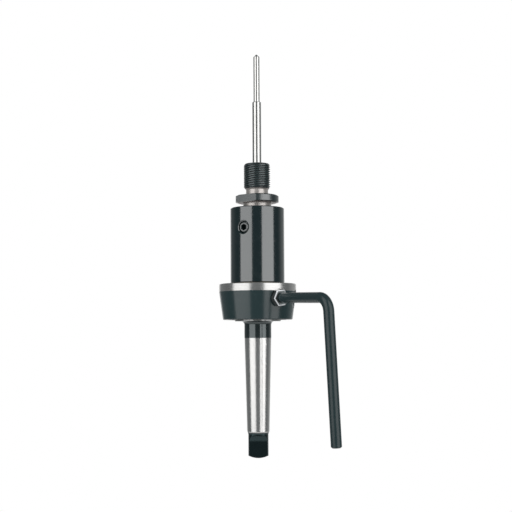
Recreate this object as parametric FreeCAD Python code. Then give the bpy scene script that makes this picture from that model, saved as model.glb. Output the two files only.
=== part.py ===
# Annular cutter holder: a taper-shank arbor with a floating coolant ring, a thread adapter held
# by two set screws, and a sprung pilot pin that opens the coolant way when it is pushed in.
# Sizes are millimetres. The origin is on the spindle axis at the gauge plane of the taper.
# +Z points towards the tool. Azimuth 0 is the front, along -Y, and azimuth 90 is along +X.

import math
import os

import FreeCAD
import Part

# Running clearances, each on the radius or along the axis
running_gap = 0.05
seat_gap = 0.02
seal_gap = 0.03

# Taper shank
gauge_diameter = 17.78
taper_rate = 0.04995
taper_above_gauge = 5.0
gauge_to_tang_end = 75.0
tang_length = 16.0
tang_diameter = 13.5
tang_thickness = 6.3
tang_root_radius = 6.0
tang_crown = 1.7
tail_bevel_height = 1.8
collar_diameter = 18.2
collar_height = 11.2
collar_fillet = 2.4

# Journal that the coolant ring turns on
journal_diameter = 31.0
journal_lip = 1.0
clip_setback = 1.5
clip_thickness = 1.5
clip_groove_depth = 0.8
clip_width = 3.1
clip_lug = 1.3
washer_thickness = 0.6
washer_width = 2.3
feed_hole_diameter = 4.0

# Coolant ring
ring_height = 24.0
ring_diameter = 52.0
ring_rim_height = 5.1
ring_foot_diameter = 47.0
ring_edge_break = 0.4
port_height = 13.9
spot_face_diameter = 12.4
spot_face_radius = 24.2
gallery_width = 6.0
gallery_depth = 1.8
seal_offset = 6.6
seal_groove_width = 2.8
seal_groove_depth = 1.9
clip_recess_diameter = 39.6
bar_azimuth = 33.0
inlet_azimuth = 80.0
inlet_bore_diameter = 8.6
inlet_mouth_bevel = 0.6
inlet_thread_depth = 6.0
inlet_feed_diameter = 5.0

# Torque bar and its lock nut
bar_diameter = 6.6
bar_reach = 79.8
bar_drop = 93.6
bar_bend_radius = 10.0
bar_swing = 3.4
bar_dip = 1.8
bar_end_bevel = 0.7
bar_thread_diameter = 6.0
bar_thread_depth = 5.2
bar_shoulder_gap = 0.6
bar_shoulder_bevel = 0.3
nut_across_flats = 10.0
nut_height = 4.8
nut_mouth_bevel = 0.4
nut_turn = 37.0

# Holder body
body_diameter = 36.5
body_length = 50.8
body_bevel = 0.5
tool_bore_depth = 32.5
set_screw_below_top = 14.1
set_screw_azimuths = {"set_screw_front": -31.0, "set_screw_side": -121.0}
set_screw_diameter = 8.0
set_screw_length = 10.0
set_screw_socket = 4.0
set_screw_socket_depth = 4.0
set_screw_point_diameter = 5.5
set_screw_bevel = 1.0
screw_mouth_bevel = 0.8

# Thread adapter
shank_diameter = 19.05
shank_end_bevel = 1.0
shank_fillet = 0.8
flange_stand_off = 2.6
flange_diameter = 29.2
flange_height = 6.2
flange_across_flats = 24.0
flange_flat_azimuth = -38.0
flange_top_bevel_width = 1.2
flange_top_bevel_height = 0.7
flange_foot_bevel_width = 1.8
flange_foot_bevel_height = 1.2
relief_diameter = 15.0
relief_height = 3.9
relief_fillet = 0.6
thread_diameter = 18.0
thread_length = 17.7
thread_bevel = 1.0
screw_flat_depth = 2.0
screw_flat_length = 12.0
guide_length = 24.0
guide_clearance = 0.1
guide_mouth_bevel = 0.5
coolant_bore_diameter = 9.0
shank_seal_height = 4.5
shank_seal_depth = 1.9
shank_seal_width = 2.6

# Pilot pin, plunger and spring
pin_diameter = 6.0
pin_tip_diameter = 4.2
pin_stand_out = 76.0
pin_tip_length = 33.2
pin_point_height = 1.9
pin_step_bevel = 0.4
pin_flat_depth = 0.5
pin_travel = 55.0
ejector_bore_diameter = 10.2
ejector_bore_end = 32.0
plunger_length = 12.0
plunger_spigot_diameter = 6.0
plunger_spigot_length = 8.0
plunger_seal_depth = 1.4
plunger_seal_width = 2.1
stop_recess_diameter = 14.0
stop_washer_thickness = 1.5
stop_washer_bore = 7.0
seat_thickness = 1.5
stop_clip_thickness = 1.0
stop_clip_groove_depth = 0.3
stop_clip_width = 1.8
stop_clip_lug = 1.1
stop_land = 1.5
spring_wire = 1.2
spring_diameter = 8.8
spring_turns = 11

# Heights along the axis that follow from the sizes above
tang_end = -gauge_to_tang_end
tang_top = tang_end + tang_length
taper_tail = tang_top + tail_bevel_height
journal_foot = taper_above_gauge + collar_height
ring_foot = journal_foot + journal_lip
ring_top = ring_foot + ring_height
port_level = ring_foot + port_height
clip_foot = ring_foot + clip_setback
clip_top = clip_foot + clip_thickness
recess_roof = clip_top + washer_thickness + running_gap
shoulder = ring_top + running_gap + washer_thickness
body_top = shoulder + body_length
tool_bore_floor = body_top - tool_bore_depth
set_screw_level = body_top - set_screw_below_top
flange_foot = body_top + flange_stand_off
flange_top = flange_foot + flange_height
thread_foot = flange_top + relief_height
thread_top = thread_foot + thread_length
stop_floor = tool_bore_floor - stop_land - stop_clip_thickness - stop_washer_thickness
plunger_top = stop_floor - running_gap
plunger_foot = plunger_top - plunger_length
ejector_floor = -ejector_bore_end
spring_foot = ejector_floor + seat_thickness
pin_top = thread_top + pin_stand_out

# Radii that more than one piece shares
tool_bore_radius = shank_diameter / 2 + seat_gap
screw_flat_radius = shank_diameter / 2 - screw_flat_depth
ring_bore_radius = journal_diameter / 2 + running_gap
gallery_radius = ring_bore_radius + gallery_depth
bar_thread_end = spot_face_radius - bar_thread_depth
bar_shoulder = spot_face_radius + nut_height + bar_shoulder_gap
screw_hole_radius = set_screw_diameter / 2
pin_guide_radius = pin_diameter / 2 + guide_clearance

ORIGIN = FreeCAD.Vector(0, 0, 0)
X_AXIS = FreeCAD.Vector(1, 0, 0)
Y_AXIS = FreeCAD.Vector(0, 1, 0)
Z_AXIS = FreeCAD.Vector(0, 0, 1)


def taper_diameter(height):
    """Diameter of the ground taper at a height above the gauge plane."""
    return gauge_diameter + taper_rate * height


def turned(start, *steps):
    """Solid of revolution. A step is the next (radius, height), or a middle and an end point of an arc."""
    edges = []
    here = FreeCAD.Vector(start[0], 0, start[1])
    first = here
    for step in steps:
        if isinstance(step[0], tuple):
            middle, end = (FreeCAD.Vector(r, 0, z) for r, z in step)
            edges.append(Part.Arc(here, middle, end).toShape())
        else:
            end = FreeCAD.Vector(step[0], 0, step[1])
            edges.append(Part.LineSegment(here, end).toShape())
        here = end
    edges.append(Part.LineSegment(here, first).toShape())
    return Part.Face(Part.Wire(edges)).revolve(ORIGIN, Z_AXIS, 360)


def disc(radius, foot, top):
    """Plain cylinder on the axis between two heights."""
    return Part.makeCylinder(radius, top - foot, FreeCAD.Vector(0, 0, foot))


def tube(inner, outer, foot, top):
    """Plain ring on the axis between two heights."""
    return disc(outer, foot, top).cut(disc(inner, foot, top))


def seal_ring(inner, outer, middle):
    """O-ring that fills the gap between two radii, centred on a height."""
    section = (outer - inner) / 2
    return Part.makeTorus(inner + section, section, FreeCAD.Vector(0, 0, middle))


def hexagon_prism(across_flats, foot, top):
    """Six-sided prism on the axis, with a corner towards +X."""
    corner = across_flats / math.sqrt(3)
    turns = [math.radians(60 * i) for i in range(7)]
    points = [FreeCAD.Vector(corner * math.cos(t), corner * math.sin(t), foot) for t in turns]
    return Part.Face(Part.makePolygon(points)).extrude(FreeCAD.Vector(0, 0, top - foot))


def aim(shape, azimuth, level):
    """Turns a shape modelled along +Z so that it points outwards at an azimuth and a level."""
    placed = shape.copy()
    placed.rotate(ORIGIN, Y_AXIS, 90)
    placed.rotate(ORIGIN, Z_AXIS, azimuth - 90)
    placed.translate(FreeCAD.Vector(0, 0, level))
    return placed


def wedge(radius, angle, foot, top):
    """Pie slice of an angle, centred on the front, that opens a retaining ring."""
    slice_ = Part.makeCylinder(radius, top - foot, FreeCAD.Vector(0, 0, foot), Z_AXIS, angle)
    slice_.rotate(ORIGIN, Z_AXIS, -90 - angle / 2)
    return slice_


def retaining_ring(inner, outer, lug_radius, gap_angle, lug_size, foot, top):
    """Open retaining ring with two lugs and plier holes, at the inner or the outer edge."""
    ring = tube(inner, outer, foot, top).cut(wedge(outer * 2, gap_angle, foot, top))
    for side in (-1, 1):
        turn = math.radians(-90 + side * (gap_angle / 2 + math.degrees(lug_size / lug_radius)))
        place = FreeCAD.Vector(lug_radius * math.cos(turn), lug_radius * math.sin(turn), foot)
        lug = Part.makeCylinder(lug_size, top - foot, place)
        hole = Part.makeCylinder(lug_size * 0.45, top - foot, place)
        ring = ring.fuse(lug).cut(hole)
    return ring.removeSplitter()


def tang_cutter(side):
    """Stock milled off one side of the tang, with the rounded run-out at its top."""
    flat = tang_thickness / 2
    rise = math.sqrt(tang_root_radius**2 - (tang_root_radius - (tang_diameter / 2 - flat)) ** 2)
    level = tang_top - rise
    centre = flat + tang_root_radius
    reach = tang_root_radius * math.sqrt(0.5)
    below = tang_end - tang_crown
    corners = [
        FreeCAD.Vector(0, flat, below),
        FreeCAD.Vector(0, flat, level),
        FreeCAD.Vector(0, centre, level + tang_root_radius),
        FreeCAD.Vector(0, centre, below),
    ]
    middle = FreeCAD.Vector(0, centre - reach, level + reach)
    edges = [
        Part.LineSegment(corners[0], corners[1]).toShape(),
        Part.Arc(corners[1], middle, corners[2]).toShape(),
        Part.LineSegment(corners[2], corners[3]).toShape(),
        Part.LineSegment(corners[3], corners[0]).toShape(),
    ]
    stock = Part.Face(Part.Wire(edges)).extrude(FreeCAD.Vector(2 * tang_diameter, 0, 0))
    stock.translate(FreeCAD.Vector(-tang_diameter, 0, 0))
    if side < 0:
        stock.rotate(ORIGIN, Z_AXIS, 180)
    return stock


def make_arbor():
    """Taper shank, journal and holder body, turned from one bar."""
    tang = tang_diameter / 2
    crown_radius = (tang**2 + tang_crown**2) / (2 * tang_crown)
    half = tang / 2
    crown_middle = tang_end + crown_radius - math.sqrt(crown_radius**2 - half**2)
    collar = collar_diameter / 2
    bend = collar_fillet * (1 - math.sqrt(0.5))
    body = body_diameter / 2
    journal = journal_diameter / 2
    arbor = turned(
        (0, tang_end),
        ((half, crown_middle), (tang, tang_end + tang_crown)),
        (tang, tang_top),
        (taper_diameter(taper_tail) / 2, taper_tail),
        (taper_diameter(taper_above_gauge) / 2, taper_above_gauge),
        (collar, taper_above_gauge),
        (collar, journal_foot - collar_fillet),
        ((collar + bend, journal_foot - bend), (collar + collar_fillet, journal_foot)),
        (journal, journal_foot),
        (journal, clip_foot),
        (journal - clip_groove_depth, clip_foot),
        (journal - clip_groove_depth, clip_top),
        (journal, clip_top),
        (journal, shoulder),
        (body - body_bevel, shoulder),
        (body, shoulder + body_bevel),
        (body, body_top - body_bevel),
        (body - body_bevel, body_top),
        (0, body_top),
    )
    for side in (-1, 1):
        arbor = arbor.cut(tang_cutter(side))
    stop_recess = stop_recess_diameter / 2
    clip_groove = stop_recess + stop_clip_groove_depth
    groove_foot = stop_floor + stop_washer_thickness
    ejector_bore = ejector_bore_diameter / 2
    cavity = turned(
        (0, ejector_floor),
        (ejector_bore, ejector_floor),
        (ejector_bore, stop_floor),
        (stop_recess, stop_floor),
        (stop_recess, groove_foot),
        (clip_groove, groove_foot),
        (clip_groove, groove_foot + stop_clip_thickness),
        (stop_recess, groove_foot + stop_clip_thickness),
        (stop_recess, tool_bore_floor),
        (tool_bore_radius, tool_bore_floor),
        (tool_bore_radius, body_top - body_bevel),
        (tool_bore_radius + body_bevel, body_top),
        (0, body_top),
    )
    arbor = arbor.cut(cavity)
    for azimuth in set_screw_azimuths.values():
        arbor = arbor.cut(aim(set_screw_hole(), azimuth, set_screw_level))
    feed = disc(feed_hole_diameter / 2, -journal, journal)
    for azimuth in (0, 90):
        arbor = arbor.cut(aim(feed, azimuth, port_level))
    return arbor


def set_screw_hole():
    """Cross hole for a set screw, from the tool bore to a bevelled mouth."""
    mouth = body_diameter / 2
    return turned(
        (0, tool_bore_radius / 2),
        (screw_hole_radius, tool_bore_radius / 2),
        (screw_hole_radius, mouth - screw_mouth_bevel),
        (screw_hole_radius + 2 * screw_mouth_bevel, mouth + screw_mouth_bevel),
        (0, mouth + screw_mouth_bevel),
    )


def make_set_screw(azimuth):
    """Socket set screw, standing on the flat of the adapter's shank."""
    radius = screw_hole_radius - running_gap
    point = set_screw_point_diameter / 2
    foot = screw_flat_radius + seat_gap
    top = foot + set_screw_length
    screw = turned(
        (0, foot),
        (point, foot),
        (radius, foot + radius - point),
        (radius, top - set_screw_bevel),
        (radius - set_screw_bevel, top),
        (0, top),
    )
    screw = screw.cut(hexagon_prism(set_screw_socket, top - set_screw_socket_depth, top))
    return aim(screw, azimuth, set_screw_level)


def make_adapter():
    """Thread adapter: plain shank with two screw flats, wrench flange and threaded nose."""
    shank = shank_diameter / 2
    flange = flange_diameter / 2
    relief = relief_diameter / 2
    nose = thread_diameter / 2
    bend = 1 - math.sqrt(0.5)
    seal_level = tool_bore_floor + shank_seal_height
    seal_floor = shank - shank_seal_depth
    adapter = turned(
        (0, tool_bore_floor),
        (shank - shank_end_bevel, tool_bore_floor),
        (shank, tool_bore_floor + shank_end_bevel),
        (shank, seal_level - shank_seal_width / 2),
        (seal_floor, seal_level - shank_seal_width / 2),
        (seal_floor, seal_level + shank_seal_width / 2),
        (shank, seal_level + shank_seal_width / 2),
        (shank, flange_foot - shank_fillet),
        ((shank + shank_fillet * bend, flange_foot - shank_fillet * bend), (shank + shank_fillet, flange_foot)),
        (flange - flange_foot_bevel_width, flange_foot),
        (flange, flange_foot + flange_foot_bevel_height),
        (flange, flange_top - flange_top_bevel_height),
        (flange - flange_top_bevel_width, flange_top),
        (relief + relief_fillet, flange_top),
        ((relief + relief_fillet * bend, flange_top + relief_fillet * bend), (relief, flange_top + relief_fillet)),
        (relief, thread_foot - (nose - relief) / 2),
        (nose - thread_bevel, thread_foot),
        (nose, thread_foot + thread_bevel / 2),
        (nose, thread_top - thread_bevel),
        (nose - thread_bevel, thread_top),
        (0, thread_top),
    )
    adapter = adapter.cut(disc(coolant_bore_diameter / 2, tool_bore_floor, thread_top - guide_length))
    adapter = adapter.cut(guide_bore())
    for azimuth in set_screw_azimuths.values():
        adapter = adapter.cut(side_flat(screw_flat_radius, screw_flat_length, azimuth, set_screw_level))
    for azimuth in (flange_flat_azimuth, flange_flat_azimuth + 180):
        middle = (flange_foot + flange_top) / 2
        adapter = adapter.cut(side_flat(flange_across_flats / 2, flange_height, azimuth, middle))
    return adapter


def guide_bore():
    """Bore that guides the pilot pin, with a bevelled mouth at the nose."""
    mouth = thread_top - guide_mouth_bevel
    return turned(
        (0, thread_top - guide_length),
        (pin_guide_radius, thread_top - guide_length),
        (pin_guide_radius, mouth),
        (pin_guide_radius + guide_mouth_bevel, thread_top),
        (0, thread_top),
    )


def side_flat(distance, length, azimuth, level):
    """Stock milled off outside a flat that stands at a distance from the axis."""
    width = flange_diameter
    stock = Part.makeBox(length, width, width)
    stock.translate(FreeCAD.Vector(-length / 2, -width / 2, distance))
    return aim(stock, azimuth, level)


def make_coolant_ring():
    """Floating ring: bright rim, tapered skirt, coolant gallery, seal grooves and two ports."""
    rim = ring_diameter / 2
    foot = ring_foot_diameter / 2
    break_ = ring_edge_break
    recess = clip_recess_diameter / 2
    ring = turned(
        (ring_bore_radius, recess_roof),
        (recess, recess_roof),
        (recess, ring_foot),
        (foot - break_, ring_foot),
        (foot, ring_foot + break_),
        (rim, ring_top - ring_rim_height),
        (rim, ring_top - break_),
        (rim - break_, ring_top),
        (ring_bore_radius, ring_top),
    )
    ring = ring.cut(tube(ring_bore_radius, gallery_radius, port_level - gallery_width / 2, port_level + gallery_width / 2))
    groove_radius = ring_bore_radius + seal_groove_depth
    for level in seal_levels().values():
        half = seal_groove_width / 2
        ring = ring.cut(tube(ring_bore_radius, groove_radius, level - half, level + half))
    spot = disc(spot_face_diameter / 2, spot_face_radius, ring_diameter)
    bar_hole = disc(bar_thread_diameter / 2 + seat_gap, bar_thread_end - running_gap, ring_diameter)
    ring = ring.cut(aim(spot.fuse(bar_hole), bar_azimuth, port_level))
    ring = ring.cut(aim(spot, inlet_azimuth, port_level))
    return ring.cut(aim(inlet_hole(), inlet_azimuth, port_level))


def seal_levels():
    """Heights of the two seals, below and above the gallery."""
    return {"lower_ring_seal": port_level - seal_offset, "upper_ring_seal": port_level + seal_offset}


def inlet_hole():
    """Tapped hole for the coolant hose with a smaller feed hole that goes on to the gallery."""
    bore = inlet_bore_diameter / 2
    feed = inlet_feed_diameter / 2
    thread_end = spot_face_radius - inlet_thread_depth
    return turned(
        (0, journal_diameter / 2),
        (feed, journal_diameter / 2),
        (feed, thread_end),
        (bore, thread_end),
        (bore, spot_face_radius - inlet_mouth_bevel),
        (bore + inlet_mouth_bevel, spot_face_radius),
        (0, spot_face_radius),
    )


def make_torque_bar():
    """Bent bar that stops the ring from turning, with its threaded end in the ring."""
    radius = bar_diameter / 2
    bend = bar_bend_radius
    reach = bar_reach
    dip = math.radians(bar_dip)
    outward = FreeCAD.Vector(math.cos(dip), 0, -math.sin(dip))
    shoulder_place = FreeCAD.Vector(bar_shoulder, 0, 0)
    corner = FreeCAD.Vector(reach, 0, -(reach - bar_shoulder) * math.tan(dip))
    bend_length = bend * math.tan((math.pi / 2 - dip) / 2)
    start = shoulder_place + outward * bar_shoulder_bevel
    bend_start = corner - outward * bend_length
    bend_end = corner - Z_AXIS * bend_length
    bend_centre = bend_end - X_AXIS * bend
    bend_middle = bend_centre + (corner - bend_centre).normalize() * bend
    end = FreeCAD.Vector(reach, 0, -bar_drop + bar_end_bevel)
    path = Part.Wire(
        [
            Part.LineSegment(start, bend_start).toShape(),
            Part.Arc(bend_start, bend_middle, bend_end).toShape(),
            Part.LineSegment(bend_end, end).toShape(),
        ]
    )
    section = Part.Wire(Part.makeCircle(radius, start, outward))
    bar = path.makePipeShell([section], True, False)
    tip = Part.makeCone(radius, radius - bar_end_bevel, bar_end_bevel, end, -Z_AXIS)
    shoulder_cone = Part.makeCone(radius - bar_shoulder_bevel, radius, bar_shoulder_bevel, shoulder_place, outward)
    thread_place = FreeCAD.Vector(bar_thread_end, 0, 0)
    thread_length = bar_shoulder + 2 * bar_shoulder_bevel - bar_thread_end
    thread = Part.makeCylinder(bar_thread_diameter / 2, thread_length, thread_place, X_AXIS)
    bar = bar.fuse([tip, shoulder_cone, thread]).removeSplitter()
    bar.rotate(ORIGIN, X_AXIS, bar_swing)
    bar.rotate(ORIGIN, Z_AXIS, bar_azimuth - 90)
    bar.translate(FreeCAD.Vector(0, 0, port_level))
    return bar


def make_lock_nut():
    """Hexagon nut that locks the torque bar, seated on the spot face."""
    foot = spot_face_radius
    top = foot + nut_height
    corner = nut_across_flats / math.sqrt(3)
    flat = nut_across_flats / 2 * 0.95
    slope = (corner - flat) * math.tan(math.radians(30))
    bore = bar_thread_diameter / 2 + seat_gap
    envelope = turned(
        (bore + nut_mouth_bevel, foot),
        (flat, foot),
        (corner, foot + slope),
        (corner, top - slope),
        (flat, top),
        (bore + nut_mouth_bevel, top),
        (bore, top - nut_mouth_bevel),
        (bore, foot + nut_mouth_bevel),
    )
    nut = hexagon_prism(nut_across_flats, foot, top).common(envelope)
    nut.rotate(ORIGIN, Z_AXIS, nut_turn)
    return aim(nut, bar_azimuth, port_level)


def make_ring_clip():
    """Retaining ring in the journal's groove, below the coolant ring."""
    inner = journal_diameter / 2 - clip_groove_depth
    outer = inner + clip_width
    return retaining_ring(inner, outer, outer - clip_lug / 2, 24, clip_lug, clip_foot, clip_top)


def make_stop_clip():
    """Retaining ring above the plunger's stop washer, with its lugs inside."""
    outer = stop_recess_diameter / 2 + stop_clip_groove_depth
    inner = outer - stop_clip_width
    foot = stop_floor + stop_washer_thickness
    return retaining_ring(inner, outer, inner + stop_clip_lug / 2, 44, stop_clip_lug, foot, foot + stop_clip_thickness)


def make_pilot_pin():
    """Stepped centring pin with a point and a coolant flat along its back."""
    radius = pin_diameter / 2
    tip = pin_tip_diameter / 2
    step = pin_top - pin_tip_length
    pin = turned(
        (0, plunger_top),
        (radius, plunger_top),
        (radius, step - pin_step_bevel),
        (radius - pin_step_bevel, step),
        (tip, step),
        (tip, pin_top - pin_point_height),
        (0, pin_top),
    )
    flat_length = step - pin_travel - plunger_top
    stock = Part.makeBox(pin_diameter, pin_flat_depth, flat_length)
    stock.translate(FreeCAD.Vector(-radius, radius - pin_flat_depth, plunger_top))
    return pin.cut(stock)


def make_plunger():
    """Plunger that the pin stands on, with a seal groove and a spigot for the spring."""
    head = ejector_bore_diameter / 2 - running_gap
    spigot = plunger_spigot_diameter / 2
    seal_floor = head - plunger_seal_depth
    seal_level = plunger_seal_level()
    half = plunger_seal_width / 2
    return turned(
        (0, plunger_foot - plunger_spigot_length),
        (spigot, plunger_foot - plunger_spigot_length),
        (spigot, plunger_foot),
        (head, plunger_foot),
        (head, seal_level - half),
        (seal_floor, seal_level - half),
        (seal_floor, seal_level + half),
        (head, seal_level + half),
        (head, plunger_top),
        (0, plunger_top),
    )


def plunger_seal_level():
    """Height of the plunger's seal, at the middle of its head."""
    return (plunger_top + plunger_foot) / 2


def make_spring():
    """Compression spring between the plunger and the floor of its bore."""
    wire = spring_wire / 2
    coil = spring_diameter / 2 - wire
    foot = spring_foot + wire + seat_gap
    rise = plunger_foot - wire - seat_gap - foot
    path = Part.makeHelix(rise / spring_turns, rise, coil)
    corners = [math.radians(45 * i) for i in range(9)]
    points = [FreeCAD.Vector(coil + wire * math.cos(t), 0, wire * math.sin(t)) for t in corners]
    spring = Part.Wire(path.Edges).makePipeShell([Part.makePolygon(points)], True, True)
    spring.translate(FreeCAD.Vector(0, 0, foot))
    return spring


def make_parts():
    """Every piece of the holder by node name."""
    journal = journal_diameter / 2
    shank_seal_level = tool_bore_floor + shank_seal_height
    washer_bore = journal + running_gap
    parts = {
        "arbor": make_arbor(),
        "thread_adapter": make_adapter(),
        "adapter_seal": seal_ring(shank_diameter / 2 - shank_seal_depth, tool_bore_radius, shank_seal_level),
        "coolant_ring": make_coolant_ring(),
        "torque_bar": make_torque_bar(),
        "lock_nut": make_lock_nut(),
        "ring_clip": make_ring_clip(),
        "lower_thrust_washer": tube(washer_bore, washer_bore + washer_width, clip_top, clip_top + washer_thickness),
        "upper_thrust_washer": tube(washer_bore, washer_bore + washer_width, shoulder - washer_thickness, shoulder),
        "pilot_pin": make_pilot_pin(),
        "ejector_plunger": make_plunger(),
        "plunger_seal": seal_ring(
            ejector_bore_diameter / 2 - running_gap - plunger_seal_depth,
            ejector_bore_diameter / 2 - seal_gap,
            plunger_seal_level(),
        ),
        "stop_washer": tube(
            stop_washer_bore / 2, stop_recess_diameter / 2 - seat_gap, stop_floor, stop_floor + stop_washer_thickness
        ),
        "stop_clip": make_stop_clip(),
        "ejector_spring": make_spring(),
        "spring_seat": tube(feed_hole_diameter / 2, ejector_bore_diameter / 2 - seat_gap, ejector_floor, spring_foot),
    }
    for name, level in seal_levels().items():
        parts[name] = seal_ring(journal + seal_gap, ring_bore_radius + seal_groove_depth, level)
    for name, azimuth in set_screw_azimuths.items():
        parts[name] = make_set_screw(azimuth)
    return parts


def write_parts():
    """Writes one STEP file for each node."""
    os.makedirs("parts", exist_ok=True)
    for name, shape in make_parts().items():
        solids = shape.Solids
        solid = solids[0] if len(solids) == 1 else Part.makeCompound(solids)
        print(name, len(solids), round(shape.Volume, 2), shape.isValid())
        solid.exportStep(os.path.join("parts", name + ".step"))


write_parts()
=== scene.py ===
# %% [markdown]
# # An annular cutter holder in Blender
# The object is an arbor for a magnetic drilling machine. Its taper shank goes up into the spindle,
# a ring feeds coolant through it, and a threaded adapter carries the cutter round a pilot pin.
# The photograph stands it with the cutter end up, and so does this scene.
#
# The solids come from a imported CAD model, so every piece here starts from a true size and place.
# What is left to make is what a solid doesn't hold: smooth light on the turned faces, the threads,
# the finishes of the metals, and the studio.

import math

import bmesh
import bpy
from mathutils import Matrix, Vector


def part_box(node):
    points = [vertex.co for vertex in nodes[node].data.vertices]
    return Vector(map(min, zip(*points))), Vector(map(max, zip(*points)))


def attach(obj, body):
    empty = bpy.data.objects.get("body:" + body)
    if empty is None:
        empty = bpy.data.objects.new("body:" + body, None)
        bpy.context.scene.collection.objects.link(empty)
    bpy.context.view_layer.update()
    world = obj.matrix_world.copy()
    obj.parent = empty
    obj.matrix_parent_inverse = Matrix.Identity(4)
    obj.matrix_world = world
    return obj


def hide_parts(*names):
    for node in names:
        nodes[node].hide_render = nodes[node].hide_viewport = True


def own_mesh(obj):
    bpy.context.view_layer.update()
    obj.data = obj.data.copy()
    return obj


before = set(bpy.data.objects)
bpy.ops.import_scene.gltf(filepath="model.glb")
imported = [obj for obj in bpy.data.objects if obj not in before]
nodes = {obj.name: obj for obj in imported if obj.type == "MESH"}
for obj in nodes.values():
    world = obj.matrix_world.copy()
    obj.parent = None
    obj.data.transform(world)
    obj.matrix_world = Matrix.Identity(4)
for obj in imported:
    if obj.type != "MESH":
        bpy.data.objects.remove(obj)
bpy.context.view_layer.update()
MM = 0.001
print("CAD nodes:", len(nodes))

# %% [markdown]
# ## Places that the frame gives
# A reader could type the heights in, but they would go stale as soon as the model changed. Here they
# are read off the boxes of the CAD nodes, and only sizes that no box shows are written down: the
# lengths of the tang, the nose, the neck, the flange and the rim, and where the bar and screws point.
# Two edges lie a little higher in the photograph than on the solids: the thread's foot and the
# flange's. Their lifts stand here too.

# %% Places and sizes
arbor_low, arbor_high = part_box("arbor")
ring_low, ring_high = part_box("coolant_ring")
nut_low, nut_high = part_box("lock_nut")
spring_low, spring_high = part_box("ejector_spring")
screw_low, screw_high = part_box("set_screw_front")

tang_end = arbor_low.z
body_top = arbor_high.z
port_level = (nut_low.z + nut_high.z) / 2
screw_level = (screw_low.z + screw_high.z) / 2
nose_length = 17.7 * MM
neck_length = 3.9 * MM
flange_height = 6.2 * MM
flange_bevel_height = 1.2 * MM
tang_length = 17.8 * MM
rim_height = 5.1 * MM
lip_height = 1.0 * MM
nose_radius = 9.0 * MM
nose_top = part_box("thread_adapter")[1].z
nose_foot = nose_top - nose_length
flange_top = nose_foot - neck_length
flange_foot = flange_top - flange_height
thread_lift = 0.6 * MM
flange_lift = 1.0 * MM
collar_foot = 5 * MM
lip_foot = ring_low.z - lip_height
taper_tail = tang_end + tang_length
rim_foot = ring_high.z - rim_height
nut_face = 29.0 * MM
bar_azimuth = 33
screw_azimuths = {"set_screw_front": -31, "set_screw_side": -121}
print("tang", round(tang_end, 4), "body top", round(body_top, 4), "nose top", round(nose_top, 4))

# %% [markdown]
# ## A helper for node trees
# Both shaders and Geometry Nodes are trees of nodes with sockets. Wiring them one by one hides the
# idea, so one small class wraps an output socket and lets Python's own signs make the Math nodes:
# `1 - mask` or `height * scale` reads as it would on paper. Any other node comes from one method,
# which sets the node's own settings first and its sockets after.


# %% Sockets that take part in sums
class Wire:
    """An output socket that Python's signs work on."""

    def __init__(self, graph, socket):
        self.graph = graph
        self.socket = socket

    def __add__(self, other):
        return self.graph.maths("ADD", self, other)

    def __radd__(self, other):
        return self.graph.maths("ADD", other, self)

    def __sub__(self, other):
        return self.graph.maths("SUBTRACT", self, other)

    def __rsub__(self, other):
        return self.graph.maths("SUBTRACT", other, self)

    def __mul__(self, other):
        return self.graph.maths("MULTIPLY", self, other)

    def __rmul__(self, other):
        return self.graph.maths("MULTIPLY", other, self)

    def __truediv__(self, other):
        return self.graph.maths("DIVIDE", self, other)


class Graph:
    """A node tree that is written as expressions."""

    def __init__(self, tree):
        self.tree = tree

    def add(self, kind, settings=None, values=None, output=None):
        """Adds a node and gives one of its outputs, the first that is in use unless it is named."""
        node = self.tree.nodes.new(kind)
        for name, value in (settings or {}).items():
            setattr(node, name, value)
        named = values if isinstance(values, dict) else dict(enumerate(values or []))
        for key, value in named.items():
            self.feed(self.find(node.inputs, key), value)
        self.last = node
        if not node.outputs:
            return node
        return Wire(self, self.find(node.outputs, 0 if output is None else output))

    def find(self, sockets, key):
        """The socket in use that has this name, or this number among those in use."""
        in_use = [socket for socket in sockets if socket.enabled]
        if isinstance(key, int):
            return in_use[key]
        return next(socket for socket in in_use if socket.name == key)

    def feed(self, socket, value):
        """Links a wire to a socket, or sets the socket's own value."""
        if isinstance(value, Wire):
            self.tree.links.new(value.socket, socket)
        else:
            socket.default_value = value

    def parts(self, vector):
        """The three parts of a vector."""
        self.add("ShaderNodeSeparateXYZ", values=[vector])
        return [Wire(self, socket) for socket in self.last.outputs]

    def maths(self, operation, *values):
        """One Math node."""
        return self.add("ShaderNodeMath", {"operation": operation}, list(values))

    def step(self, value, start, end, kind="SMOOTHSTEP"):
        """0 before start, 1 after end, and a smooth or straight rise between them."""
        limits = {"Value": value, "From Min": start, "From Max": end}
        return self.add("ShaderNodeMapRange", {"interpolation_type": kind}, limits)

    def band(self, value, low, high, edge):
        """1 between two values and 0 outside them, with edges of a width."""
        return self.step(value, low - edge, low + edge) * (1 - self.step(value, high - edge, high + edge))

    def mix(self, share, first, second):
        """Mixes two colours."""
        values = {"Factor": share, "A": first, "B": second}
        return self.add("ShaderNodeMix", {"data_type": "RGBA"}, values)

    def blend(self, share, first, second):
        """Mixes two numbers."""
        values = {"Factor": share, "A": first, "B": second}
        return self.add("ShaderNodeMix", {"data_type": "FLOAT"}, values)


print("node helper ready")

# %% [markdown]
# ## The finishes
# Nearly everything on the holder was turned on a lathe, and then either left bright, ground, or
# dipped in a hot bath that turns steel black. The two looks share one recipe. A layer of black oxide
# reflects like oiled glass over a blue-black ground, so it is no metal to the shader but has a high
# index of refraction. Bare steel is a metal. A mask between 0 and 1 chooses between them along the
# piece, so one turned bar can be black on its body and bright on its taper.
#
# Three kinds of small detail keep the surfaces from looking like plastic: rings left by the tool,
# which are noise stretched round the axis, cloudy patches in the oxide, and rubbed places.


# %% A metal with a black and a bright zone
def colour(red, green, blue):
    """A colour with full cover."""
    return (red, green, blue, 1.0)


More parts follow.
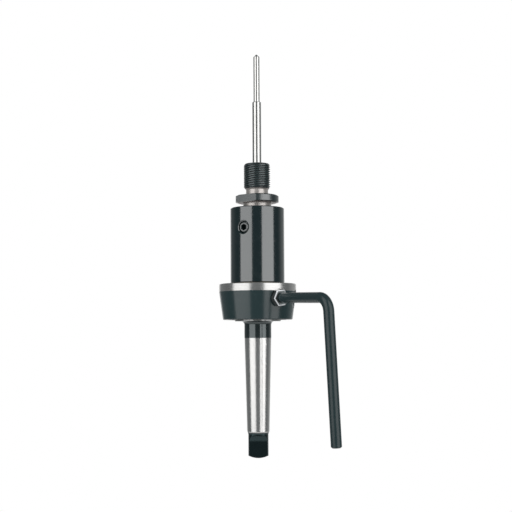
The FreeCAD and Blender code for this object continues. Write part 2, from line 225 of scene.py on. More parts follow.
OXIDE = colour(0.0012, 0.0080, 0.0098)
OXIDE_WORN = colour(0.008, 0.0145, 0.0165)
HAZE = (0.020, 0.031, 0.032)
DULL_TANG = colour(0.022, 0.042, 0.045)
# Painted shade: the collar's darker colour, for the shade under the ring.
SHADED_COLLAR = colour(0.030, 0.044, 0.046)
# Painted highlight: the light colour of the lip just under the ring.
LIP_HIGHLIGHT = colour(0.200, 0.208, 0.205)
GROUND_STEEL = colour(0.585, 0.574, 0.564)
WARM_STEEL = colour(0.449, 0.415, 0.391)


def shade(tone, share):
    """A darker tone of the same colour."""
    return colour(*[value * share for value in tone[:3]])


class Metal:
    """A metal finish that is built up step by step and then closed."""

    def __init__(self, name):
        self.material = bpy.data.materials.new(name)
        self.material.use_nodes = True
        self.material.node_tree.nodes.clear()
        self.graph = Graph(self.material.node_tree)
        self.place = self.graph.add("ShaderNodeTexCoord", output="Object")
        self.across, self.depth, self.height = self.graph.parts(self.place)
        squares = self.across * self.across + self.depth * self.depth
        self.radius = self.graph.maths("SQRT", squares)

    def noise(self, per_metre, detail):
        """Cloudy noise with about so many features to a metre."""
        values = {"Vector": self.place, "Scale": per_metre, "Detail": detail}
        return self.graph.add("ShaderNodeTexNoise", values=values)

    def tool_rings(self, per_metre):
        """Fine rings round the axis, as a turning tool or a grinding wheel leaves them."""
        spots = [self.radius * per_metre, self.across * 9.0, self.height * per_metre]
        rings = self.graph.add("ShaderNodeCombineXYZ", values=spots)
        values = {"Vector": rings, "Scale": 1.0, "Detail": 2.0}
        return self.graph.add("ShaderNodeTexNoise", values=values, output=0)

    def close(self, paint, roughness, metallic, relief, relief_depth, index):
        """Joins the surface to the material's output and gives the material."""
        bump_values = {"Height": relief, "Strength": 1.0, "Distance": relief_depth}
        bump = self.graph.add("ShaderNodeBump", values=bump_values)
        values = {
            "Base Color": paint,
            "Roughness": roughness,
            "Metallic": metallic,
            "Normal": bump,
            "IOR": index,
        }
        shader = self.graph.add("ShaderNodeBsdfPrincipled", values=values)
        self.graph.add("ShaderNodeOutputMaterial", values={"Surface": shader})
        return self.material


print("metal recipe ready")


# %% [markdown]
# ### Oxide and bright steel on one bar
# `two_tone` takes a function that draws the mask of bright metal from the metal's own places. The
# arbor is bright between the foot of its collar and the tail of its taper, the coolant ring is bright
# on its rim, and the adapter on its shank and neck. The bright colour is mottled a little, because a
# ground face is never one even grey. Three places on the arbor differ from the rest of its oxide: the
# tang is duller, the collar is painted darker as shade under the ring, and the lip between collar and
# ring is painted light as a highlight.


# %% Two-tone metals
def hazy(tone, haze):
    """A black tone under a greenish grey haze, as oil and handling leave it. Haze runs from 0 to 1."""
    return colour(*[part + haze * veil for part, veil in zip(tone, HAZE)])


def two_tone(name, bright_mask, bright, rings_per_metre, glosses, scatter, index, haze=0.0):
    """Black oxide with bare steel where the mask is 1.

    Glosses are the roughness of the black and of the bright zone. Scatter is the share of light that
    the tool marks on the bright zone spread.
    """
    black_gloss, bright_gloss = glosses
    metal = Metal(name)
    graph = metal.graph
    mask = bright_mask(metal)
    clouds = metal.noise(240.0, 4.0)
    specks = metal.noise(2600.0, 2.0)
    rings = metal.tool_rings(rings_per_metre)
    worn = graph.step(clouds * 0.7 + specks * 0.3, 0.5, 0.72)
    black = graph.mix(worn, hazy(OXIDE, haze), hazy(OXIDE_WORN, haze))
    tang = 1 - graph.step(metal.height, taper_tail - 1.2 * MM, taper_tail - 0.7 * MM)
    # Painted shade: the collar under the ring is painted darker, and its reflection is darkened through a
    # metallic share.
    collar_shade = graph.band(metal.height, collar_foot, lip_foot, 0.05 * MM)
    # Painted highlight: a thin light band on the lip just under the ring.
    lip_highlight = graph.band(metal.height, lip_foot, ring_low.z - 0.05 * MM, 0.05 * MM)
    black = graph.mix(tang, graph.mix(collar_shade, graph.mix(lip_highlight, black, LIP_HIGHLIGHT), SHADED_COLLAR), DULL_TANG)
    bare = graph.mix(graph.step(rings * 0.6 + clouds * 0.4, 0.35, 0.65), shade(bright, 0.93), bright)
    roughness = graph.blend(mask, black_gloss + 0.08 * clouds + 0.1 * tang, bright_gloss + 0.06 * rings)
    relief = rings * (0.35 + 0.65 * mask) + 0.5 * specks * (1 - mask)
    paint = graph.mix(mask, black, bare)
    metallic = mask * (1 - scatter) + 0.85 * tang + 0.5 * collar_shade
    return metal.close(paint, roughness, metallic, relief, 0.0000025, index)


def arbor_mask(metal):
    """Bright on the ground taper and in the tool bore."""
    bore_edge = 9.7 * MM
    taper = metal.graph.band(metal.height, taper_tail - 0.6 * MM, collar_foot, 0.05 * MM)
    bore = metal.graph.band(metal.radius, -1.0, bore_edge, 0.1 * MM)
    above_ring = metal.graph.step(metal.height, ring_high.z, ring_high.z + 1 * MM)
    return metal.graph.maths("MAXIMUM", taper, bore * above_ring)


def ring_mask(metal):
    """Bright on the rim, and in the bore that runs on the journal."""
    bore_edge = 20.0 * MM
    rim = metal.graph.step(metal.height, rim_foot - 0.05 * MM, rim_foot + 0.05 * MM)
    bore = 1 - metal.graph.step(metal.radius, bore_edge, bore_edge + 0.4 * MM)
    return metal.graph.maths("MAXIMUM", rim, bore)


def adapter_mask(metal):
    """Bright on the shank with the flange's underside, and on the relief neck."""
    underside = flange_foot + flange_lift
    shank = 1 - metal.graph.step(metal.height, underside + 0.05 * MM, underside + 0.15 * MM)
    neck_top = nose_foot + thread_lift + 0.2 * MM
    neck = metal.graph.band(metal.height, flange_top + 0.15 * MM, neck_top, 0.05 * MM)
    return metal.graph.maths("MAXIMUM", shank, neck)


rim_steel = shade(GROUND_STEEL, 0.92)
arbor_look = dict(rings_per_metre=3200.0, glosses=(0.10, 0.21), scatter=0.15, index=2.1, haze=0.12)
ring_look = dict(rings_per_metre=2600.0, glosses=(0.16, 0.20), scatter=0.15, index=1.5, haze=0.95)
neck_look = dict(rings_per_metre=2200.0, glosses=(0.24, 0.32), scatter=0.45, index=2.2, haze=0.3)
arbor_metal = two_tone("oxide_ground_taper", arbor_mask, GROUND_STEEL, **arbor_look)
ring_metal = two_tone("oxide_and_bright_rim", ring_mask, rim_steel, **ring_look)
adapter_metal = two_tone("oxide_and_turned_neck", adapter_mask, WARM_STEEL, **neck_look)
print("two-tone metals:", arbor_metal.name, ring_metal.name, adapter_metal.name)

# %% [markdown]
# ### The plain finishes
# The bar and the screws are black all over, the thread is black with painted highlights on its crests,
# the nut is smoky zinc with painted highlights along its edges, the pin is ground and polished, and the
# spring, washers and seals inside have their own simple looks. Each function is told how rough the real
# piece is.


# %% One-tone metals
def oxide(name, roughness, worn_share, index, haze=0.0):
    """Black oxide all over."""
    metal = Metal(name)
    specks = metal.noise(3000.0, 2.0)
    clouds = metal.noise(320.0, 4.0)
    worn = metal.graph.step(clouds * 0.6 + specks * 0.4, 0.45, 0.8) * worn_share
    paint = metal.graph.mix(worn, hazy(OXIDE, haze), hazy(OXIDE_WORN, haze))
    return metal.close(paint, roughness + 0.1 * clouds, 0.0, specks, 0.0000012, index)


def thread_with_crest_highlight(name):
    """Black thread with crests rubbed smooth by the cutters screwed on, and painted lighter there as a
    highlight.
    """
    metal = Metal(name)
    graph = metal.graph
    clouds = metal.noise(320.0, 4.0)
    crest_highlight = graph.step(metal.radius, nose_radius - 0.4 * MM, nose_radius - 0.1 * MM)
    # Painted highlight: the crests are painted lighter and partly metallic, for the light they catch.
    paint = graph.mix(crest_highlight, OXIDE_WORN, colour(0.04, 0.062, 0.064))
    return metal.close(paint, 0.4 - 0.2 * crest_highlight + 0.06 * clouds, 0.3 * crest_highlight, clouds, 0.0000012, 1.95)


def bare(name, tone, roughness, rings_per_metre=3000.0, relief_depth=0.0000015):
    """Bare or plated metal all over, with faint tool rings."""
    metal = Metal(name)
    rings = metal.tool_rings(rings_per_metre)
    spread = metal.graph.step(rings * 0.5 + metal.noise(300.0, 3.0) * 0.5, 0.35, 0.65)
    paint = metal.graph.mix(spread, shade(tone, 0.88), tone)
    return metal.close(paint, roughness + 0.06 * rings, 0.92, rings, relief_depth, 1.5)


def plated_nut(name):
    """Smoky zinc with painted highlights along the end face's edges, except on the side away from the
    camera.
    """
    metal = Metal(name)
    graph = metal.graph
    flat_angles = [math.radians(degrees) for degrees in (67, 127, 187)]
    highlight_depth = 0.9 * MM
    highlight_from = 4.38 * MM
    turn = math.radians(bar_azimuth - 90)
    out = metal.across * math.cos(turn) + metal.depth * math.sin(turn)
    aside = metal.depth * math.cos(turn) - metal.across * math.sin(turn)
    lift = metal.height - port_level
    widths = [aside * math.sin(angle) - lift * math.cos(angle) for angle in flat_angles]
    to_flats = [graph.maths("ABSOLUTE", width) for width in widths]
    widest = graph.maths("MAXIMUM", graph.maths("MAXIMUM", to_flats[0], to_flats[1]), to_flats[2])
    front = graph.step(out, nut_face - highlight_depth, nut_face - highlight_depth + 0.2 * MM)
    edge = front * graph.step(widest, highlight_from, highlight_from + 0.17 * MM)
    # Painted highlight: the end face's edges are painted near-white on the lit side and stay smoky on the
    # far side.
    bright = edge * (1 - graph.step(aside, 2.3 * MM, 3.4 * MM))
    clouds = metal.noise(700.0, 3.0)
    smoky = graph.mix(clouds, colour(0.05, 0.06, 0.06), colour(0.12, 0.135, 0.135))
    zinc = graph.mix(clouds, colour(0.72, 0.74, 0.76), colour(0.86, 0.88, 0.90))
    paint = graph.mix(bright, smoky, zinc)
    return metal.close(paint, 0.22 + 0.1 * clouds, 0.5 - 0.4 * bright, clouds, 0.0000015, 1.6)


def rubber(name):
    """Black seal rubber with a matt, slightly dusty skin."""
    metal = Metal(name)
    dust = metal.noise(1800.0, 3.0)
    dusty = metal.graph.step(dust, 0.45, 0.75)
    paint = metal.graph.mix(dusty, colour(0.012, 0.012, 0.012), colour(0.03, 0.03, 0.028))
    return metal.close(paint, 0.55 + 0.2 * dust, 0.0, dust, 0.000005, 1.5)


bar_metal = oxide("satin_oxide_bar", 0.2, 0.7, 1.42, 0.8)
screw_metal = oxide("oxide_screws", 0.14, 0.4, 1.9)
thread_metal = thread_with_crest_highlight("oxide_thread")
nut_metal = plated_nut("zinc_with_painted_highlights")
pin_metal = bare("ground_pin", colour(0.62, 0.61, 0.595), 0.12, 4200.0, 0.0000003)
plunger_metal = bare("turned_plunger", WARM_STEEL, 0.28)
spring_metal = bare("spring_steel", colour(0.34, 0.35, 0.37), 0.3)
bronze = bare("oiled_bronze", colour(0.13, 0.10, 0.065), 0.3)
seal_rubber = rubber("seal_rubber")
print("finishes:", len(bpy.data.materials))

# %% [markdown]
# ## Smooth light on turned faces
# A CAD node arrives as loose flat triangles. Under a softbox each triangle would show as a facet. A
# finer mesh would help little, but true normals cure it: every face that was turned has the same
# normal at a point as the real surface, and that normal follows from the point's azimuth and the
# face's own slope. So each piece is a merged copy of its node, where turned faces get worked-out
# normals, flat faces keep their own, and small curved ones share theirs with neighbours that bend
# away by less than a set angle.

# %% Corners' normals
TURNED_LIMIT = math.sin(math.radians(8))
SOFT_LIMIT = math.cos(math.radians(32))
ON_SURFACE = 0.03 * MM


def is_turned(face):
    """True if a face lies on a surface that was turned round the Z axis."""
    spread = math.hypot(face.normal.x, face.normal.y)
    heights = []
    for vert in face.verts:
        radius = math.hypot(vert.co.x, vert.co.y)
        sideways = face.normal.y * vert.co.x - face.normal.x * vert.co.y
        if abs(sideways) > TURNED_LIMIT * max(radius, 1e-6):
            return False
        outward = math.copysign(spread, face.normal.x * vert.co.x + face.normal.y * vert.co.y)
        heights.append(radius * outward + vert.co.z * face.normal.z)
    return max(heights) - min(heights) < ON_SURFACE


def turned_normal(face, place):
    """The normal of the turned surface at a corner of its face."""
    radius = math.hypot(place.x, place.y)
    spread = math.hypot(face.normal.x, face.normal.y)
    if radius < 1e-6 or spread < 1e-4:
        return face.normal.copy()
    outward = math.copysign(spread / radius, face.normal.x * place.x + face.normal.y * place.y)
    return Vector((place.x * outward, place.y * outward, face.normal.z))


def shared_normal(face, vert, turned):
    """The mean normal of the faces at a corner that bend away softly from this one."""
    total = Vector((0.0, 0.0, 0.0))
    for other in vert.link_faces:
        if not turned[other.index] and other.normal.dot(face.normal) > SOFT_LIMIT:
            total += other.normal * other.calc_area()
    return total.normalized() if total.length > 0 else face.normal.copy()


def new_object(name, data):
    """An object for a mesh, a lamp or a camera, in the scene."""
    piece = bpy.data.objects.new(name, data)
    bpy.context.scene.collection.objects.link(piece)
    return piece


print("normals ready")


# %% Smooth pieces
def smooth_piece(name, work, lathe=None):
    """A piece made of a bmesh, with true normals. A turned one stands on its axis and is then put back."""
    work.faces.index_update()
    work.normal_update()
    turned = [lathe is not None and is_turned(face) for face in work.faces]
    normals = []
    for face in work.faces:
        for loop in face.loops:
            if turned[face.index]:
                normals.append(turned_normal(face, loop.vert.co))
            else:
                normals.append(shared_normal(face, loop.vert, turned))
    mesh = bpy.data.meshes.new(name)
    work.to_mesh(mesh)
    work.free()
    if lathe is not None:
        back = lathe.inverted()
        mesh.transform(back)
        normals = [back.to_3x3() @ normal for normal in normals]
    mesh.polygons.foreach_set("use_smooth", [True] * len(mesh.polygons))
    mesh.normals_split_custom_set(normals)
    print(name, "faces", len(mesh.polygons), "turned", sum(turned))
    return new_object(name, mesh)


def side_axis(azimuth, level):
    """The frame in which a side hole's own axis is Z. Its azimuth starts at the camera."""
    aside = Matrix.Rotation(math.radians(azimuth - 90), 4, "Z") @ Matrix.Rotation(math.pi / 2, 4, "Y")
    return (Matrix.Translation(Vector((0.0, 0.0, level))) @ aside).inverted()


def merged_copy(node_name, piece_name, lathe=Matrix.Identity(4), reshape=None):
    """A smooth copy of a CAD node, changed first if asked."""
    work = bmesh.new()
    work.from_mesh(nodes[node_name].data)
    work.transform(lathe)
    bmesh.ops.remove_doubles(work, verts=work.verts, dist=0.0005 * MM)
    if reshape:
        reshape(work)
    return smooth_piece(piece_name, work, lathe)


def dress(piece, metal, body, slot_name, *stands_for):
    """Gives a piece its metal and its body, and hides the CAD nodes that it stands for."""
    piece.data.materials.clear()
    piece.data.materials.append(metal)
    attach(piece, body)
    if stands_for:
        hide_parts(*stands_for)


# %% Turned pieces
dress(merged_copy("arbor", "turned_arbor"), arbor_metal, "arbor", "black_steel", "arbor")
dress(merged_copy("coolant_ring", "turned_ring"), ring_metal, "coolant_ring", "ring_steel", "coolant_ring")
dress(merged_copy("pilot_pin", "ground_pin"), pin_metal, "ejector", "polished_steel", "pilot_pin")
nut_axis = side_axis(bar_azimuth, port_level)
dress(merged_copy("lock_nut", "plated_nut", nut_axis), nut_metal, "coolant_ring", "zinc_plate", "lock_nut")

# %% [markdown]
# ## A thread with several starts
# The cutter screws onto the nose in a turn or two, because its thread has four starts: four ridges run
# side by side, 1.5 mm apart, and each climbs 6 mm in a turn. A thread follows a rule, so Geometry
# Nodes draw it. A flat grid is rolled into a tube: its columns are the turn, and its rows follow the
# climb, sixteen to a pitch, so that the edges of crest and root lie on rows and stay crisp. Rows that
# climb past an end are held there, and a limit near each end cuts the bevels. The first row and the
# last two lie at the core, so the tube closes on itself. The same tree makes the threads of the set
# screws and of the bar's stud.


# %% Trees with named inputs
def tree_with(name, sizes, counts=()):
    """A Geometry Nodes tree with named inputs: its graph to fill, and its inputs as wires."""
    tree = bpy.data.node_groups.new(name, "GeometryNodeTree")
    tree.interface.new_socket("Geometry", in_out="OUTPUT", socket_type="NodeSocketGeometry")
    for size in sizes:
        tree.interface.new_socket(size, in_out="INPUT", socket_type="NodeSocketFloat")
    for count in counts:
        tree.interface.new_socket(count, in_out="INPUT", socket_type="NodeSocketInt")
    tree.interface.new_socket("Material", in_out="INPUT", socket_type="NodeSocketMaterial")
    graph = Graph(tree)
    graph.add("NodeGroupInput")
    wires = {socket.name: Wire(graph, socket) for socket in graph.last.outputs if socket.name}
    return graph, wires


def close_tree(graph, shape, material):
    """Ends a tree with real geometry in its material."""
    real = graph.add("GeometryNodeRealizeInstances", values=[shape])
    painted = graph.add("GeometryNodeSetMaterial", values={"Geometry": real, "Material": material})
    graph.add("NodeGroupOutput", values=[painted])
    return graph.tree


def grown(name, tree, material, values, place=Matrix.Identity(4)):
    """Runs a tree with these sizes and keeps the result as a plain, smooth piece."""
    holder = new_object(name + "_holder", bpy.data.meshes.new(name + "_holder"))
    modifier = holder.modifiers.new("grow", "NODES")
    modifier.node_group = tree
    for item in tree.interface.items_tree:
        if item.in_out == "INPUT":
            modifier[item.identifier] = material if item.name == "Material" else values[item.name]
    ready = holder.evaluated_get(bpy.context.evaluated_depsgraph_get())
    mesh = bpy.data.meshes.new_from_object(ready)
    bpy.data.objects.remove(holder)
    work = bmesh.new()
    work.from_mesh(mesh)
    work.transform(place)
    return smooth_piece(name, work)


print("trees ready")


# %% The thread tree
def thread_tree():
    """A closed, threaded tube round the Z axis."""
    sizes = ["Foot", "Length", "Crest Radius", "Groove Depth", "Core Radius", "Pitch", "End Bevel"]
    graph, size = tree_with("several_start_thread", sizes, ["Starts", "Columns"])
    lead = size["Pitch"] * size["Starts"]
    row_step = size["Pitch"] / 16
    rows = graph.maths("CEIL", (size["Length"] + lead) / row_step) + 1
    grid_values = {"Size X": 1.0, "Size Y": 1.0, "Vertices X": size["Columns"] + 1, "Vertices Y": rows + 3}
    grid = graph.add("GeometryNodeMeshGrid", values=grid_values)
    x, y = graph.parts(graph.add("GeometryNodeInputPosition"))[:2]
    turn = x + 0.5
    row = graph.maths("ROUND", (y + 0.5) * (rows + 2))
    first = graph.maths("LESS_THAN", row, 0.5)
    past_top = graph.maths("GREATER_THAN", row, rows + 0.5)
    inner_foot = graph.maths("GREATER_THAN", row, rows + 1.5)
    climb = (row - 1) * row_step - lead + turn * lead
    held = graph.maths("MINIMUM", graph.maths("MAXIMUM", climb, 0.0), size["Length"])
    along = graph.blend(past_top, held, size["Length"]) * (1 - graph.maths("MAXIMUM", first, inner_foot))
    phase = graph.maths("FRACT", (along - turn * lead) / size["Pitch"])
    ridge = graph.maths("ABSOLUTE", 2 * phase - 1)
    threaded = size["Crest Radius"] - size["Groove Depth"] * (1 - graph.step(ridge, 0.125, 0.75, "LINEAR"))
    nearest_end = graph.maths("MINIMUM", along, size["Length"] - along)
    bevelled = graph.maths("MINIMUM", threaded, size["Crest Radius"] - size["End Bevel"] + nearest_end)
    radius = graph.blend(graph.maths("MAXIMUM", first, past_top), bevelled, size["Core Radius"])
    angle = turn * (2 * math.pi)
    east = radius * graph.maths("COSINE", angle)
    north = radius * graph.maths("SINE", angle)
    rolled = graph.add("ShaderNodeCombineXYZ", values=[east, north, along + size["Foot"]])
    tube = graph.add("GeometryNodeSetPosition", values={"Geometry": grid, "Position": rolled})
    joined = graph.add("GeometryNodeMergeByDistance", values={"Geometry": tube, "Distance": 0.001 * MM})
    return close_tree(graph, joined, size["Material"])


thread = thread_tree()
print("thread tree nodes:", len(thread.nodes))

# %% [markdown]
# ### The nose of the adapter
# The CAD adapter has a plain nose at the thread's outer diameter. Its copy is turned down there to
# just under the bottom of the grooves, and the threaded tube is slipped over it. The same pass lifts
# the nose's foot and the flange's, with the fillet under the flange and, by less, the bevel's rim.

# %% Adapter with its threaded nose
groove_depth = 0.92 * MM
core_radius = nose_radius - groove_depth - 0.05 * MM
neck_radius = 7.5 * MM
fillet_foot = flange_foot - 0.9 * MM
rim_lift_lost = 0.6


def trim_adapter(work):
    """Moves the nose's outer points in to the thread's root, and lifts its foot and the flange's."""
    for vert in work.verts:
        radius = math.hypot(vert.co.x, vert.co.y)
        if vert.co.z > nose_foot - 0.1 * MM and radius > neck_radius + 0.2 * MM:
            vert.co.x *= core_radius / radius
            vert.co.y *= core_radius / radius
        if abs(vert.co.z - nose_foot) < 1.0 * MM and radius > neck_radius - 0.1 * MM:
            vert.co.z += thread_lift
        if fillet_foot < vert.co.z < flange_foot + flange_bevel_height + 0.1 * MM:
            up_bevel = max(vert.co.z - flange_foot, 0.0) / flange_bevel_height
            vert.co.z += flange_lift * (1 - rim_lift_lost * up_bevel)


adapter = merged_copy("thread_adapter", "turned_adapter", reshape=trim_adapter)
dress(adapter, adapter_metal, "arbor", "tool_steel", "thread_adapter")
nose_sizes = {
    "Foot": nose_foot + thread_lift,
    "Length": nose_top - nose_foot - thread_lift - 0.02 * MM,
    "Crest Radius": nose_radius,
    "Groove Depth": groove_depth,
    "Core Radius": core_radius - 0.5 * MM,
    "Pitch": 1.5 * MM,
    "End Bevel": 1.0 * MM,
    "Starts": 4,
    "Columns": 120,
}
dress(grown("nose_thread", thread, thread_metal, nose_sizes), thread_metal, "arbor", "tool_steel")

# %% [markdown]
# ### The set screws
# Two socket set screws clamp the adapter, a quarter turn apart. Each is treated like the nose: its
# copy is turned down to the root of an M8 thread, on the screw's own axis, and gets a threaded tube.

# %% Set screws
screw_radius = 3.95 * MM
screw_groove = 0.75 * MM
screw_bevel = 1.0 * MM


def turn_down_screw(work):
    """Moves the outer points of a set screw in to the root of its thread."""
    core = screw_radius - screw_groove - 0.03 * MM
    for vert in work.verts:
        radius = math.hypot(vert.co.x, vert.co.y)
        if radius > core:
            vert.co.x *= core / radius
            vert.co.y *= core / radius


for screw, azimuth in screw_azimuths.items():
    lathe = side_axis(azimuth, screw_level)
    ends = [(lathe @ vert.co).z for vert in nodes[screw].data.vertices]
    copy = merged_copy(screw, screw + "_core", lathe, turn_down_screw)
    dress(copy, screw_metal, screw, "screw_steel", screw)
    screw_sizes = {
        "Foot": min(ends) + screw_bevel,
        "Length": max(ends) - min(ends) - screw_bevel - 0.02 * MM,
        "Crest Radius": screw_radius,
        "Groove Depth": screw_groove,
        "Core Radius": screw_radius - screw_groove - 0.3 * MM,
        "Pitch": 1.25 * MM,
        "End Bevel": screw_bevel,
        "Starts": 1,
        "Columns": 48,
    }
    wound = grown(screw + "_thread", thread, screw_metal, screw_sizes, lathe.inverted())
    dress(wound, screw_metal, screw, "screw_steel")

# %% [markdown]
# ## The torque bar
# The bar is a rod that was bent once, with a thread at its short end. A rod follows a path, so a tree
# lays five points: the two ends, a point just inside each end for its bevel, and the corner. The
# corner is filleted, and a circle is swept along the line, smaller at both ends. The rod is drawn
# flat, then swung a little, turned to its azimuth and raised to the level of the port. Its thickness,
# bend, reach and swing were read off the photograph, and its surface lies within 1 mm of the solid's.


# %% The rod tree
def rod_tree():
    """A bevelled rod along X and then down, with one rounded corner."""
    sizes = ["Start", "Reach", "Dip", "Drop", "Bend Radius", "Rod Radius", "Start Bevel", "End Bevel"]
    graph, size = tree_with("bent_rod", sizes)
    index = graph.add("GeometryNodeInputIndex")
    past = [graph.maths("GREATER_THAN", index, number - 0.5) for number in range(1, 5)]
    out = graph.blend(past[1], size["Start"] + past[0] * size["Start Bevel"], size["Reach"])
    end_depth = size["Drop"] - (1 - past[3]) * size["End Bevel"]
    down = graph.blend(past[2], past[1] * size["Dip"], end_depth)
    spot = graph.add("ShaderNodeCombineXYZ", values=[out, 0.0, 0 - down])
    points = graph.add("GeometryNodePoints", values={"Count": 5, "Position": spot})
    line = graph.add("GeometryNodePointsToCurves", values={"Points": points})
    narrower = (1 - past[0]) * size["Start Bevel"] + past[3] * size["End Bevel"]
    sized_values = {"Curve": line, "Radius": 1 - narrower / size["Rod Radius"]}
    sized = graph.add("GeometryNodeSetCurveRadius", values=sized_values)
    corner = (past[1] - past[2]) * size["Bend Radius"]
    fillet_values = {"Curve": sized, "Count": 20, "Radius": corner}
    bent = graph.add("GeometryNodeFilletCurve", {"mode": "POLY"}, fillet_values)
    circle_values = {"Resolution": 48, "Radius": size["Rod Radius"]}
    circle = graph.add("GeometryNodeCurvePrimitiveCircle", values=circle_values)
    thickness = graph.add("GeometryNodeInputRadius")
    sweep = {"Curve": bent, "Profile Curve": circle, "Scale": thickness, "Fill Caps": True}
    rod = graph.add("GeometryNodeCurveToMesh", values=sweep)
    return close_tree(graph, rod, size["Material"])


rod = rod_tree()
print("rod tree nodes:", len(rod.nodes))

# %% Torque bar and its stud
bar_start = 29.6
bar_reach = 79.1
run_dip = math.radians(1.8)
bar_swing = Matrix.Rotation(math.radians(3.3), 4, "X")
bar_turn = Matrix.Rotation(math.radians(bar_azimuth - 90), 4, "Z")
bar_place = Matrix.Translation(Vector((0.0, 0.0, port_level))) @ bar_turn @ bar_swing
bar_sizes = {
    "Start": bar_start * MM,
    "Reach": bar_reach * MM,
    "Dip": (bar_reach - bar_start) * math.tan(run_dip) * MM,
    "Drop": 93.6 * MM,
    "Bend Radius": 8.7 * MM,
    "Rod Radius": 3.45 * MM,
    "Start Bevel": 0.3 * MM,
    "End Bevel": 0.7 * MM,
}
bar = grown("bent_bar", rod, bar_metal, bar_sizes, bar_place)
dress(bar, bar_metal, "coolant_ring", "bar_steel", "torque_bar")
stud_sizes = {
    "Foot": 19.0 * MM,
    "Length": 11.1 * MM,
    "Crest Radius": 3.0 * MM,
    "Groove Depth": 0.61 * MM,
    "Core Radius": 1.5 * MM,
    "Pitch": 1.0 * MM,
    "End Bevel": 0.5 * MM,
    "Starts": 1,
    "Columns": 48,
}
lie_down = Matrix.Rotation(math.pi / 2, 4, "Y")
stud = grown("bar_stud", thread, bar_metal, stud_sizes, bar_place @ lie_down)
dress(stud, bar_metal, "coolant_ring", "bar_steel")

# %% [markdown]
# ## The spring
# Behind the ejector lies a long compression spring. A tree sweeps a wire along a spiral.


# %% Spring tree and spring
def coil_tree():
    """A round wire along a helix round the Z axis."""
    graph, size = tree_with("coil", ["Foot", "Height", "Mean Radius", "Wire Radius", "Turns"])
    spiral_values = {
        "Resolution": 36,
        "Rotations": size["Turns"],
        "Start Radius": size["Mean Radius"],
        "End Radius": size["Mean Radius"],
        "Height": size["Height"] - 2 * size["Wire Radius"],
    }
    spiral = graph.add("GeometryNodeCurveSpiral", values=spiral_values)
    lift = graph.add("ShaderNodeCombineXYZ", values=[0.0, 0.0, size["Foot"] + size["Wire Radius"]])
    raised = graph.add("GeometryNodeSetPosition", values={"Geometry": spiral, "Offset": lift})
    circle_values = {"Resolution": 12, "Radius": size["Wire Radius"]}
    circle = graph.add("GeometryNodeCurvePrimitiveCircle", values=circle_values)
    sweep = {"Curve": raised, "Profile Curve": circle, "Fill Caps": True}
    wire = graph.add("GeometryNodeCurveToMesh", values=sweep)
    return close_tree(graph, wire, size["Material"])


coil_sizes = {
    "Foot": spring_low.z,
    "Height": spring_high.z - spring_low.z,
    "Mean Radius": 3.8 * MM,
    "Wire Radius": 0.6 * MM,
    "Turns": 11.0,
}
coil = grown("wound_spring", coil_tree(), spring_metal, coil_sizes)
dress(coil, spring_metal, "arbor", "spring_steel", "ejector_spring")
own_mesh(coil)

# %% [markdown]
# ## Pieces inside
# The washers, seals, retaining rings and the plunger are hardly seen, but they are there when the
# holder is taken apart. Their CAD nodes have the right shape and only get a finish.

# %% Finishes of the inner nodes
inner_finishes = {
    "adapter_seal": seal_rubber,
    "upper_ring_seal": seal_rubber,
    "lower_ring_seal": seal_rubber,
    "plunger_seal": seal_rubber,
    "upper_thrust_washer": bronze,
    "lower_thrust_washer": bronze,
    "ring_clip": spring_metal,
    "stop_clip": spring_metal,
    "stop_washer": spring_metal,
    "spring_seat": spring_metal,
    "ejector_plunger": plunger_metal,
}
for name, finish in inner_finishes.items():
    nodes[name].data.materials.clear()
    nodes[name].data.materials.append(finish)
print("finished nodes:", len(inner_finishes))

# %% [markdown]
# ## The studio
# Polished cylinders show the room as upright stripes, so the room is designed from the stripes in the
# photograph. A stripe at a share s of the radius mirrors a lamp at twice the angle whose sine is s.
# The stripes put one softbox from 23 to 76 degrees to the left of the camera and one from 19 to 72
# degrees to the right, a little brighter. Between them the room is dark, and behind the object it is
# white.

# %% Softboxes
axis_middle = Vector((0.0, 0.0, 60 * MM))
box_distance = 1.0


def softbox(name, from_azimuth, to_azimuth, from_elevation, to_elevation, radiance):
    """A tall area lamp that covers this much of the view from the object. Angles are in degrees."""
    middle = math.radians((from_azimuth + to_azimuth) / 2)
    half = math.radians((to_azimuth - from_azimuth) / 2)
    low = math.tan(math.radians(from_elevation)) * box_distance
    high = math.tan(math.radians(to_elevation)) * box_distance
    data = bpy.data.lights.new(name, "AREA")
    data.shape = "RECTANGLE"
    data.size = 2 * math.tan(half) * box_distance
    data.size_y = high - low
    data.energy = 4 * data.size * data.size_y * radiance
    lamp = new_object(name, data)
    away = Vector((math.sin(middle), -math.cos(middle), 0.0))
    lamp.location = axis_middle + away * box_distance + Vector((0.0, 0.0, (low + high) / 2))
    lamp.rotation_euler = (-away).to_track_quat("-Z", "Y").to_euler()
    lamp.visible_camera = False
    return lamp


box_foot = -19
box_top = 56
left_box = softbox("left_softbox", -76, -23, box_foot, box_top, 1.42)
right_box = softbox("right_softbox", 19, 72, box_foot, box_top, 1.6)
print("softboxes:", round(left_box.data.energy, 1), round(right_box.data.energy, 1))

# %% [markdown]
# The world does three jobs, told apart by the Light Path node. To the camera it is plain white. To
# glossy rays it is the room: white behind the object and pale below it, with a dim glow at both sides,
# weaker on the left, and dark elsewhere. To everything else it is a low, even fill.

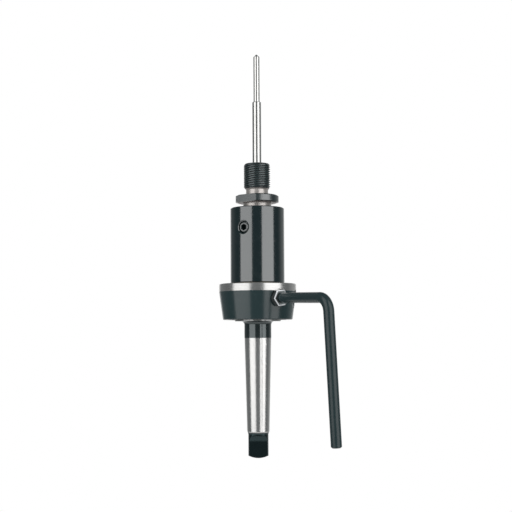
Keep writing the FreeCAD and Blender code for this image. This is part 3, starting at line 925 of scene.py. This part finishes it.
# %% World
world = bpy.data.worlds.new("studio")
bpy.context.scene.world = world
world.use_nodes = True
world.node_tree.nodes.clear()
room = Graph(world.node_tree)
direction = room.add("ShaderNodeTexCoord", output="Generated")
rightward, backward, upward = room.parts(direction)
white = colour(1.0, 1.0, 1.0)
backdrop = colour(0.95, 0.95, 0.95)
pale_table = colour(0.8, 0.8, 0.8)
side_glow = colour(0.40, 0.42, 0.42)
dark_room = colour(0.072, 0.089, 0.093)
fill = colour(0.30, 0.30, 0.305)
left_share = 0.35
behind = room.step(backward, 0.80, 0.95)
below = room.step(0 - upward, 0.30, 0.55)
to_right = room.step(rightward, 0.2, 0.5)
to_left = room.step(0 - rightward, 0.2, 0.5)
beside = room.step(backward, 0.1, 0.75) * (to_right + left_share * to_left)
mirrored = room.mix(beside, dark_room, side_glow)
mirrored = room.mix(behind, mirrored, backdrop)
mirrored = room.mix(below, mirrored, pale_table)
room.add("ShaderNodeLightPath")
rays = room.last
seen = room.mix(Wire(room, rays.outputs["Is Glossy Ray"]), fill, mirrored)
seen = room.mix(Wire(room, rays.outputs["Is Transmission Ray"]), seen, white)
seen = room.mix(Wire(room, rays.outputs["Is Camera Ray"]), seen, white)
sky = room.add("ShaderNodeBackground", values={"Color": seen, "Strength": 1.0})
room.add("ShaderNodeOutputWorld", values={"Surface": sky})
print("world ready")

# %% [markdown]
# The floor is a pale round table well below the object, too low for the photograph's view but there
# from above. It fades out towards its edge, so that it has no hard rim against the white.

# %% Floor
floor_drop = 0.16
floor_level = tang_end - floor_drop
floor_radius = 0.42
fade_start = 0.3 * floor_radius
floor_data = bpy.data.meshes.new("pale_floor")
disc = bmesh.new()
bmesh.ops.create_circle(disc, cap_ends=True, segments=96, radius=floor_radius)
bmesh.ops.translate(disc, verts=disc.verts, vec=Vector((0.0, 0.0, floor_level)))
disc.to_mesh(floor_data)
disc.free()
floor = new_object("pale_floor", floor_data)
floor_paint = bpy.data.materials.new("pale_floor")
floor_paint.use_nodes = True
floor_paint.node_tree.nodes.clear()
ground = Graph(floor_paint.node_tree)
floor_place = ground.add("ShaderNodeTexCoord", output="Object")
spread = ground.add("ShaderNodeVectorMath", {"operation": "LENGTH"}, [floor_place], "Value")
fade = 1 - ground.step(spread, fade_start, floor_radius)
pale = ground.add("ShaderNodeBsdfDiffuse", values={"Color": colour(0.9, 0.9, 0.9)})
clear = ground.add("ShaderNodeBsdfTransparent")
faded = ground.add("ShaderNodeMixShader", values=[fade, clear, pale])
ground.add("ShaderNodeOutputMaterial", values={"Surface": faded})
floor_data.materials.append(floor_paint)
print("floor at", round(floor_level, 3))

# %% [markdown]
# ## The camera
# The rings of the holder curve up more the higher they sit, and hardly at all at the foot of the
# collar. That puts the camera level with the collar, three quarters of a metre away, looking up by
# four degrees. The object leans a third of a degree to the left in the picture, which is a roll.

# %% Camera
camera_distance = 0.74
camera_height = collar_foot
camera_side = -0.98 * MM
look_up = math.radians(4.275)
roll = math.radians(-0.298)
focal_pixels = 1096.0
picture_pixels = 512.0
camera_data = bpy.data.cameras.new("camera")
camera_data.sensor_width = 36.0
camera_data.lens = focal_pixels / picture_pixels * 36.0
camera_data.clip_start = 0.05
camera_data.clip_end = 20.0
camera = new_object("camera", camera_data)
turn = Matrix.Rotation(math.pi / 2 + look_up, 4, "X") @ Matrix.Rotation(roll, 4, "Z")
camera.matrix_world = Matrix.Translation(Vector((camera_side, -camera_distance, camera_height))) @ turn
bpy.context.scene.camera = camera
bpy.context.scene.view_settings.view_transform = "Standard"
print("lens", round(camera_data.lens, 2))
